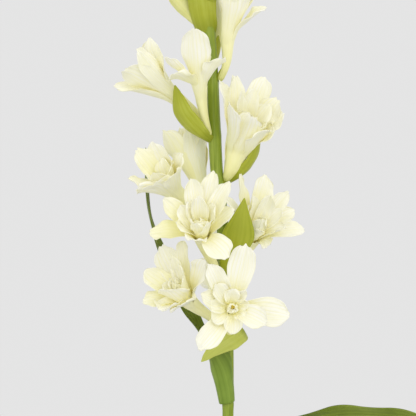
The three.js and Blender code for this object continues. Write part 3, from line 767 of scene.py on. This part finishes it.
def framed(line, steps):
    """Points along a line, each with two directions across it that don't twist."""
    spots = even(line, steps)
    across = spots[0][1].orthogonal().normalized()
    made = []
    for point, ahead in spots:
        across = (across - ahead * across.dot(ahead)).normalized()
        made.append((point, across, ahead.cross(across)))
    return made


def rise(s, low, high):
    """Goes smoothly from 0 to 1 between two places."""
    x = min(1, max(0, (s - low) / (high - low)))
    return x * x * (3 - 2 * x)


def span(line):
    """The length of a line of points."""
    return sum((b - a).length for a, b in zip(line, line[1:]))


def tube_radius(bell, flare, along):
    """A tube's radius at a share of its whole length."""
    return TUBE_ROOT + (bell - TUBE_ROOT) * max(0, along) ** flare


def tube(name, line, bell, flare):
    """A floret's tube, faintly ribbed, closed at its root and open under its petals' claws."""
    spots = framed(line, TUBE_STEPS)
    end = 1 - (CLAW_DEPTH + 0.6) / span(line)

    def place(across, along):
        point, one, other = spots[round(along * end * TUBE_STEPS)]
        turn = 2 * math.pi * across
        radius = tube_radius(bell, flare, along * end)
        radius *= 1 + TUBE_RIB_DEPTH * math.cos(TUBE_RIBS * turn) * rise(along, 0.05, 0.4)
        radius *= 0.25 + 0.75 * rise(along, -0.02, 0.04)
        return point + (one * math.cos(turn) + other * math.sin(turn)) * radius

    piece = lay(name, *TUBE_GRID, place)
    for corner in piece.data.uv_layers[0].data:
        corner.uv.y -= 1
    bpy.ops.object.mode_set(mode="EDIT")
    bpy.ops.mesh.select_all(action="SELECT")
    bpy.ops.mesh.remove_doubles(threshold=0.01 * MM)
    bpy.ops.object.mode_set(mode="OBJECT")
    return piece


def petal(name, spot, tube_path, bell, flare, row, layer, neighbours, dice):
    """One petal, as a grid curved along its own middle line. Its claw lies on the tube."""
    turn, lean, curl, length, width = row[:5]
    twist = row[5] if len(row) > 5 else 0
    whiteness_under_painted_shade = row[6] if len(row) > 6 else 1
    mouth, out, up, right = spot
    spoke = right * math.cos(math.radians(turn)) + up * math.sin(math.radians(turn))
    side = out.cross(spoke).normalized()
    steps = PETAL_STEPS
    on_rim = layer in RIM_OFFSETS
    habit = OUTER_HABIT if on_rim else INNER_HABIT
    roll = dice.uniform(*habit["roll"])
    ruffle = dice.uniform(*habit["ruffle"])
    hollow = math.radians(dice.uniform(*habit["hollow"]))
    waves = dice.uniform(*PETAL_WAVES)
    sway = dice.uniform(*PETAL_SWAY)
    tip = dice.uniform(*PETAL_TIP)
    phases = [dice.random(), dice.random()]
    seed = Vector([dice.uniform(0, 50) for _ in range(3)])
    reach = span(tube_path)
    path = even(tube_path, TUBE_MARKS)
    rim = tube_radius(bell, flare, 1 - CLAW_DEPTH / reach)
    seat = rim + RIM_OFFSETS[layer] if on_rim else bell * SEATS[layer]
    spring = bell * SPRINGS[layer]
    flared = rim - tube_radius(bell, flare, WALL_FROM)
    wall = math.degrees(math.atan(flared / ((1 - WALL_FROM) * reach)))
    claw = min(CLAW_WIDEST * width, CLAW_LAP * 2 * math.pi * seat / neighbours) / width
    root_run = CLAW_RUN["rim" if on_rim else "throat"]
    line = [mouth - out * CLAW_DEPTH + spoke * spring]
    ahead = []
    for i in range(steps + 1):
        s = (i + 0.5) / steps
        angle = lean + (curl - lean) * s + roll * rise(s, 0.68, 1.1)
        if on_rim:
            angle = wall + (angle - wall) * rise(s, -0.08, 0.17)
        angle = math.radians(angle)
        ahead.append(out * math.cos(angle) + spoke * math.sin(angle))
        line.append(line[-1] + ahead[-1] * length / steps)

    def place(across, along):
        s = along * (1 + root_run) - root_run
        t = 2 * across - 1
        past = max(0, (s - PETAL_WIDEST) / (1 - PETAL_WIDEST))
        nicks = noise.noise(seed + Vector((3.1 * t, 0, 4)))
        back = max(0, s - (0.07 * t * t + 0.06 * nicks) * past**1.5)
        k = min(steps, int(back * steps))
        point = line[k].lerp(line[k + 1], back * steps - k)
        point = point + spoke * (seat - spring) * (1 - rise(back, 0, 1))
        forward = ahead[k]
        radius = seat
        if s < 0 and on_rim:
            share = 1 - (CLAW_DEPTH - s * length) / reach
            centre, forward = path[round(max(0, share) * TUBE_MARKS)]
            outward = (spoke - forward * forward.dot(spoke)).normalized()
            radius = tube_radius(bell, flare, share) + RIM_OFFSETS[layer]
            radius -= CLAW_SUNK * rise(-s / root_run, 0.1, 1)
            point = centre + outward * radius
        elif s < 0:
            point = point + out * s * length + spoke * s * 5
        turned = side.copy()
        turned.rotate(Quaternion(forward, math.radians(twist * max(0, s))))
        face = forward.cross(turned)
        if s < PETAL_WIDEST:
            shape = claw + (1 - claw) * math.sin(math.pi / 2 * max(0, s) / PETAL_WIDEST)
            shape *= 1 - 0.75 * rise(-s / root_run, 0.25, 1.1)
        else:
            shape = tip + (1 - tip) * math.sqrt(1 - past**2.2)
        ragged = noise.noise(seed + Vector((6 * s, 1.7 * t, 0)))
        half = width / 2 * shape * (1 + 0.12 * ragged * rise(s, 0.2, 0.8))
        hug = half / radius
        cup = hug + (hollow - hug) * rise(s, 0, 0.8)
        lift = half * (1 - math.cos(cup * t)) / cup
        grown = rise(s, 0.12, 0.85)
        phase = phases[0] if t < 0 else phases[1]
        edge = abs(t) ** 2.2
        lift += ruffle * edge * math.sin(2 * math.pi * (waves * s + phase)) * grown
        fine = math.sin(2 * math.pi * (FINE_WAVES * waves * s + phase))
        lift += FINE_RUFFLE * ruffle * edge * fine * grown
        lift += habit["swell"] * noise.noise(seed + Vector((2.1 * s, 1.5 * t, 9))) * grown
        lift += PLEAT * math.sin(2 * math.pi * (2.5 * t + phases[0])) * grown
        lift += FRILL * noise.noise(seed + Vector((7 * t, 3 * s, 2))) * rise(s, 0.6, 1)
        crease = math.exp(-((t / KEEL_SPREAD) ** 2))
        lift -= MIDRIB * crease * rise(s, 0.1, 0.4) * (1 - 0.7 * s)
        out_by = half * math.sin(cup * t) / cup + sway * max(0, s) ** 2
        return point + turned * out_by + face * lift

    piece = lay(name, *habit["grid"], place)
    for corner in piece.data.uv_layers[0].data:
        s = corner.uv.y * (1 + root_run) - root_run
        if s < 0:
            corner.uv.y = s * length / reach
        else:
            # Inner petals stop short of the white tips: painted shade deep in the floret.
            corner.uv.y = s if on_rim else s * INNER_PAINTED_SHADE
        # Petals that keep less of their white colour are drawn yellower towards the root: painted
        # shade.
        corner.uv.y -= (1 - whiteness_under_painted_shade) * rise(s, -0.2, 0.3)
    return piece


def waxy_petal():
    """The petals' finish: green root to white tip, with pale streaks, faint veins and clouds."""
    made, tree, shader = blank("waxy_petal", Roughness=0.6, Specular_IOR_Level=0.25)
    place = node(tree, "ShaderNodeTexCoord")
    along = node(tree, "ShaderNodeSeparateXYZ", {"Vector": place.outputs["UV"]})
    share = node(
        tree, "ShaderNodeMapRange", {"Value": along.outputs["Y"], "From Min": -1, "From Max": 1}
    )
    body = ramp(tree, share.outputs["Result"], [
        (0.0, (0.52, 0.55, 0.14, 1)), (0.12, (0.88, 0.85, 0.42, 1)), (0.4, (0.96, 0.931, 0.6, 1)),
        (0.58, (0.97, 0.949, 0.74, 1)), (0.75, (0.972, 0.959, 0.87, 1)),
        (1.0, (0.97, 0.96, 0.91, 1)),
    ])
    fine = node(tree, "ShaderNodeMapping", {"Vector": place.outputs["UV"], "Scale": (15, 1.1, 1)})
    pleats = node(
        tree, "ShaderNodeTexNoise",
        {"Vector": fine.outputs["Vector"], "Scale": 1, "Detail": 3, "Roughness": 0.6},
    )
    cloud = node(
        tree, "ShaderNodeTexNoise", {"Vector": place.outputs["Object"], "Scale": 45, "Detail": 3}
    )
    streak = node(
        tree, "ShaderNodeMapRange",
        {"Value": pleats.outputs["Fac"], "From Min": 0.35, "From Max": 0.65, "To Max": 0.36},
    )
    streaked = node(
        tree, "ShaderNodeMix",
        {"Factor": streak.outputs["Result"], "A": body, "B": (0.88, 0.855, 0.38, 1)},
        data_type="RGBA",
    )
    ribs = node(tree, "ShaderNodeMapping", {"Vector": place.outputs["UV"], "Scale": (1, 0.35, 1)})
    bands = node(
        tree, "ShaderNodeTexWave",
        {"Vector": ribs.outputs["Vector"], "Scale": 2.3, "Distortion": 2.4, "Detail": 2,
         "Detail Scale": 1.8},
        wave_type="BANDS", bands_direction="X",
    )
    vein = node(
        tree, "ShaderNodeMapRange",
        {"Value": bands.outputs["Fac"], "From Min": 0.35, "From Max": 0.0, "To Max": 0.15},
    )
    ribbed = node(
        tree, "ShaderNodeMix",
        {"Factor": vein.outputs["Result"], "A": streaked.outputs["Result"],
         "B": (0.84, 0.805, 0.34, 1)},
        data_type="RGBA",
    )
    warm = node(
        tree, "ShaderNodeMapRange",
        {"Value": cloud.outputs["Fac"], "From Min": 0.4, "From Max": 0.75, "To Max": 0.3},
    )
    warmed = node(
        tree, "ShaderNodeMix",
        {"Factor": warm.outputs["Result"], "A": ribbed.outputs["Result"],
         "B": (0.91, 0.885, 0.4, 1)},
        data_type="RGBA",
    )
    tree.links.new(warmed.outputs["Result"], shader.inputs["Base Color"])
    relief = node(
        tree, "ShaderNodeBump",
        {"Height": pleats.outputs["Fac"], "Strength": 0.55, "Distance": 0.0005},
    )
    tree.links.new(relief.outputs["Normal"], shader.inputs["Normal"])
    return made


petal_wax = waxy_petal()
for index, (name, floret) in enumerate(FLORETS.items()):
    dice = random.Random(700 + index)
    spot = mouth_frame(floret["mouth"], floret["faces"])
    bell = floret["bell"]
    line = tube_line(spot[0], spot[1], floret["leaves"])
    flare = floret.get("flare", TUBE_FLARE)
    parts = [tube(f"bloom_{name}", line, bell, flare)]
    rows = [("between" if i % 2 else "out", row) for i, row in enumerate(floret["outer"])]
    rows += [("in", row) for row in floret["inner"]]
    if floret["inner"] and floret.get("heart", True):
        reach = HEART_REACH * max(row[3] for row in floret["inner"])
        first = dice.uniform(0, 90)
        heart = whorl(HEART_COUNT, first, HEART_LEAN, HEART_CURL, reach, HEART_WIDTH)
        rows += [("heart", row) for row in heart]
    for layer, row in rows:
        neighbours = max(4, len(floret["outer" if layer in RIM_OFFSETS else "inner"]))
        parts.append(
            petal(f"petal_{name}", spot, line, bell, flare, row, layer, neighbours, dice)
        )
    bpy.ops.object.select_all(action="DESELECT")
    for part in parts:
        part.select_set(True)
    bpy.context.view_layer.objects.active = parts[0]
    bpy.ops.object.join()
    smooth(parts[0], 1, PETAL_THICK)
    dress(parts[0], petal_wax, "petal_cream", f"floret_{name}")
    if "back_bract" in floret:
        under = small_bract(
            f"bract_{name}", line, floret["leaves"], floret["back_bract"], reach=0.5
        )
        finish_bract(under)


# Three stamens stand in each floret's throat, close together. Only their gold-brown anthers show:
# grains with a slight waist, dusty with pollen.
ANTHER_LENGTH = 3
ANTHER_RADIUS = 0.9
ANTHER_WAIST = 0.25
STAMEN_RING = 0.12
STAMEN_DEPTH = 0.5
STAMEN_COUNT = 3
anther_gold, tree, shader = blank("anther_gold", Roughness=0.7)
place = node(tree, "ShaderNodeTexCoord").outputs["Object"]
pollen = node(tree, "ShaderNodeTexNoise", {"Vector": place, "Scale": 900, "Detail": 2})
golds = [(0.35, (0.5, 0.36, 0.02, 1)), (0.7, (0.68, 0.53, 0.07, 1))]
tree.links.new(ramp(tree, pollen.outputs["Fac"], golds), shader.inputs["Base Color"])
dust = node(
    tree, "ShaderNodeBump", {"Height": pollen.outputs["Fac"], "Strength": 0.4, "Distance": 0.0002}
)
tree.links.new(dust.outputs["Normal"], shader.inputs["Normal"])
for name, floret in FLORETS.items():
    mouth, out, up, right = mouth_frame(floret["mouth"], floret["faces"])
    anthers = []
    for i in range(STAMEN_COUNT):
        turn = 2 * math.pi * i / STAMEN_COUNT
        spoke = right * math.cos(turn) + up * math.sin(turn)
        depth = floret.get("stamen_depth", STAMEN_DEPTH)
        foot = mouth + spoke * floret["bell"] * STAMEN_RING - out * depth
        bpy.ops.object.select_all(action="DESELECT")
        bpy.ops.mesh.primitive_uv_sphere_add(segments=10, ring_count=8, radius=1)
        anther = bpy.context.object
        for vertex in anther.data.vertices:
            x, y, z = vertex.co
            wide = ANTHER_RADIUS * (1 - ANTHER_WAIST * math.exp(-((z / 0.3) ** 2)))
            across = right * x * wide + up * y * wide
            vertex.co = (foot + across + out * (z + 1) * ANTHER_LENGTH / 2) * MM
        anthers.append(anther)
    bpy.ops.object.select_all(action="DESELECT")
    for anther in anthers:
        anther.select_set(True)
    bpy.context.view_layer.objects.active = anthers[0]
    bpy.ops.object.join()
    anthers[0].name = anthers[0].data.name = f"stamens_{name}"
    smooth(anthers[0], 0)
    dress(anthers[0], anther_gold, "bud_yellow")


# Closed buds stand round the tip of the spike, each one higher, shorter and slimmer than the one
# before. Three petals lap round each bud, so its skin has three low steps along it.
BUD_COUNT = 9
BUD_FROM, BUD_TO = 520, 603
BUD_FIRST_TURN, BUD_TURN = 154, 137.5
BUD_FIRST_LEAN = 39
BUD_SPREAD = 0.75
BUD_LEAN = (32, 12)
BUD_LENGTH = (45, 18)
BUD_RADIUS = (7.4, 2.5)
BUD_GRID = (42, 28)
BUD_STEPS = 100
BUD_STEP_DEPTH = 0.09
BUD_STEP_TURN = 0.35
BUD_PROFILE = [
    (0, 0.02), (0.03, 0.24), (0.15, 0.42), (0.3, 0.6), (0.45, 0.84), (0.62, 1), (0.75, 0.95),
    (0.86, 0.74), (0.94, 0.44), (0.985, 0.2), (1, 0.03),
]
bud_wax = veined(
    "bud_wax",
    [(0.0, (0.6, 0.62, 0.15, 1)), (0.5, (0.76, 0.75, 0.3, 1)), (1.0, (0.87, 0.86, 0.5, 1))],
    veins=14, roughness=0.5,
)
for i in range(BUD_COUNT):
    share = i / (BUD_COUNT - 1)
    height = BUD_FROM + (BUD_TO - BUD_FROM) * share**BUD_SPREAD
    lean, length, radius = [a + (b - a) * share for a, b in (BUD_LEAN, BUD_LENGTH, BUD_RADIUS)]
    lean = math.radians(lean if i else BUD_FIRST_LEAN)
    turn = math.radians(BUD_FIRST_TURN + BUD_TURN * i)
    away = Vector((math.cos(turn), math.sin(turn), 0))
    root = stem_at(height) + away * (between(STEM_GIRTH, height) + 0.1 * radius)
    aside = away * length * math.sin(lean)
    rises = Vector((0, 0, length * math.cos(lean)))
    middle = root + aside * 0.55 + rises * 0.45
    tip = root + aside * 0.85 + rises
    line = geometry.interpolate_bezier(
        root, root.lerp(middle, 2 / 3), tip.lerp(middle, 2 / 3), tip, 60
    )
    spots = framed(line, BUD_STEPS)
    segments, rings = BUD_GRID
    bpy.ops.object.select_all(action="DESELECT")
    bpy.ops.mesh.primitive_uv_sphere_add(segments=segments, ring_count=rings, radius=1)
    bud = bpy.context.object
    bud.name = bud.data.name = f"closed_bud_{i + 1}"
    for vertex in bud.data.vertices:
        along = math.acos(max(-1, min(1, -vertex.co.z))) / math.pi
        turn = math.atan2(vertex.co.y, vertex.co.x) if abs(vertex.co.z) < 0.999 else 0
        lap = (3 * turn / (2 * math.pi) + BUD_STEP_TURN * along) % 1
        wide = between(BUD_PROFILE, along) * radius
        wide *= 1 + BUD_STEP_DEPTH * (lap - 0.5) * rise(along, 0.1, 0.5)
        point, one, other = spots[round(along * BUD_STEPS)]
        vertex.co = (point + (one * math.cos(turn) + other * math.sin(turn)) * wide) * MM
    smooth(bud, 0)
    dress(bud, bud_wax, "bud_yellow", f"bud_{i + 1}")
    if i:
        finish_bract(small_bract(f"bract_bud_{i + 1}", line, height, radius))


# A plain pale table top, and a soft studio light: a large key from the upper right, a fill from
# the left, a low one in front, a small one above, and an even pale surround.
FLOOR_RADIUS = 1.9
SURROUND_GREY = (0.78, 0.78, 0.78, 1)
bpy.ops.object.select_all(action="DESELECT")
bpy.ops.mesh.primitive_circle_add(vertices=96, radius=FLOOR_RADIUS, fill_type="NGON")
floor = bpy.context.object
floor.name = "table_top"
pale, tree, shader = blank("pale_table", Roughness=0.7)
place = node(tree, "ShaderNodeTexCoord").outputs["Object"]
paper = node(tree, "ShaderNodeTexNoise", {"Vector": place, "Scale": 300, "Detail": 2})
greys = [(0.3, (0.74, 0.74, 0.74, 1)), (0.7, (0.77, 0.77, 0.77, 1))]
tree.links.new(ramp(tree, paper.outputs["Fac"], greys), shader.inputs["Base Color"])
floor.data.materials.append(pale)

LIGHTS = {
    "key": ((1.0, -1.4, 1.3), 1.6, 8),
    "front": ((0.1, -2.2, 0.6), 2.2, 5.5),
    "fill": ((-1.4, -1.1, 0.7), 1.8, 5),
    "top": ((0.0, 0.3, 1.7), 1.4, 3),
}
for name, (spot, size, power) in LIGHTS.items():
    towards = VIEW_CENTRE - Vector(spot)
    turned = towards.to_track_quat("-Z", "Y").to_euler()
    bpy.ops.object.light_add(type="AREA", location=spot, rotation=turned)
    lamp = bpy.context.object
    lamp.name = f"{name}_light"
    lamp.data.size = size
    lamp.data.energy = power
surround = bpy.data.worlds.new("pale_surround")
bpy.context.scene.world = surround
surround.use_nodes = True
surround.node_tree.nodes["Background"].inputs["Color"].default_value = SURROUND_GREY

# The picture is shown as it is lit, with no film curve laid over it. Light goes on from petal to
# petal many times, as it does between real petals, so that their folds glow and aren't grey.
BOUNCES = 24
bpy.context.scene.view_settings.view_transform = "Standard"
bpy.context.scene.cycles.max_bounces = BOUNCES
bpy.context.scene.cycles.diffuse_bounces = BOUNCES
